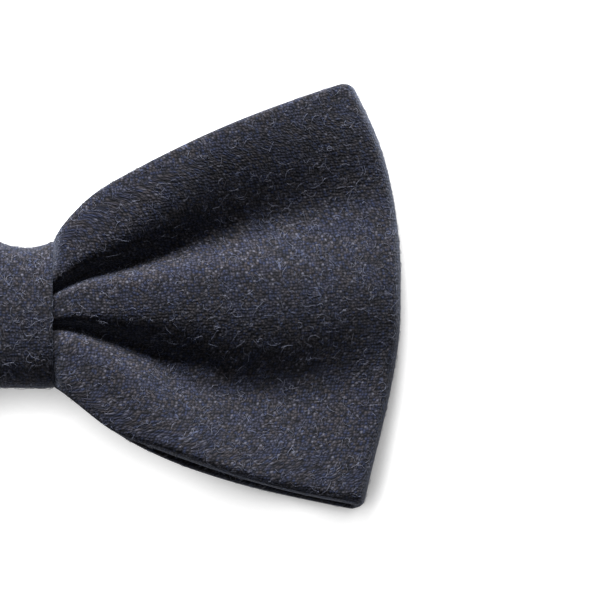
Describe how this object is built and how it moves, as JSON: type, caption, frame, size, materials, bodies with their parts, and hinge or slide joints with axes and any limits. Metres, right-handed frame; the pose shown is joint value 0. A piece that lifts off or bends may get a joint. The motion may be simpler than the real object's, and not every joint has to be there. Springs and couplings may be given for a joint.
{
  "type": "bow tie",
  "caption": "Ready-tied pleated bow tie in dark brushed wool flannel, folded into looped wings, wrapped by a knot band and carried by a sprung double collar clip.",
  "frame": {"origin": "middle of the bow's footprint on the surface it lies on, back down", "axes": "+X along the bow to the right as seen from the front, +Y to its top edge, +Z out of its front"},
  "size_m": [0.12, 0.0682, 0.0144],
  "materials": {
    "wool_flannel": "brushed navy and charcoal melange wool flannel",
    "interlining": "stiff woven cotton canvas",
    "thread": "dark polyester sewing thread",
    "clip_steel": "nickel-plated pressed steel",
    "pin_steel": "bright steel wire with peened heads",
    "spring_wire": "drawn spring steel"
  },
  "bodies": {
    "bow": {"bow_shell": "wool_flannel", "bow_interlining": "interlining", "bow_end_stitches": "thread", "gather_thread": "thread", "knot_band": "wool_flannel", "knot_interlining": "interlining", "knot_back_stitches": "thread", "clip_bar": "clip_steel", "right_hinge_pin": "pin_steel", "left_hinge_pin": "pin_steel", "right_spring": "spring_wire", "left_spring": "spring_wire"},
    "right_lever": {"right_jaw": "clip_steel"},
    "left_lever": {"left_jaw": "clip_steel"}
  },
  "joints": [
    {"name": "right_jaw_hinge", "type": "hinge", "parent": "bow", "child": "right_lever", "pos_m": [0.014, -0.0028, 0.0026], "axis": [0, 1, 0], "range_deg": [0, 18], "stiffness_Nm_per_rad": 0.002, "springref_deg": -4.58, "deforming": ["right_spring"]},
    {"name": "left_jaw_hinge", "type": "hinge", "parent": "bow", "child": "left_lever", "pos_m": [-0.014, -0.0028, 0.0026], "axis": [0, -1, 0], "range_deg": [0, 18], "stiffness_Nm_per_rad": 0.002, "springref_deg": -4.58, "deforming": ["left_spring"]}
  ]
}
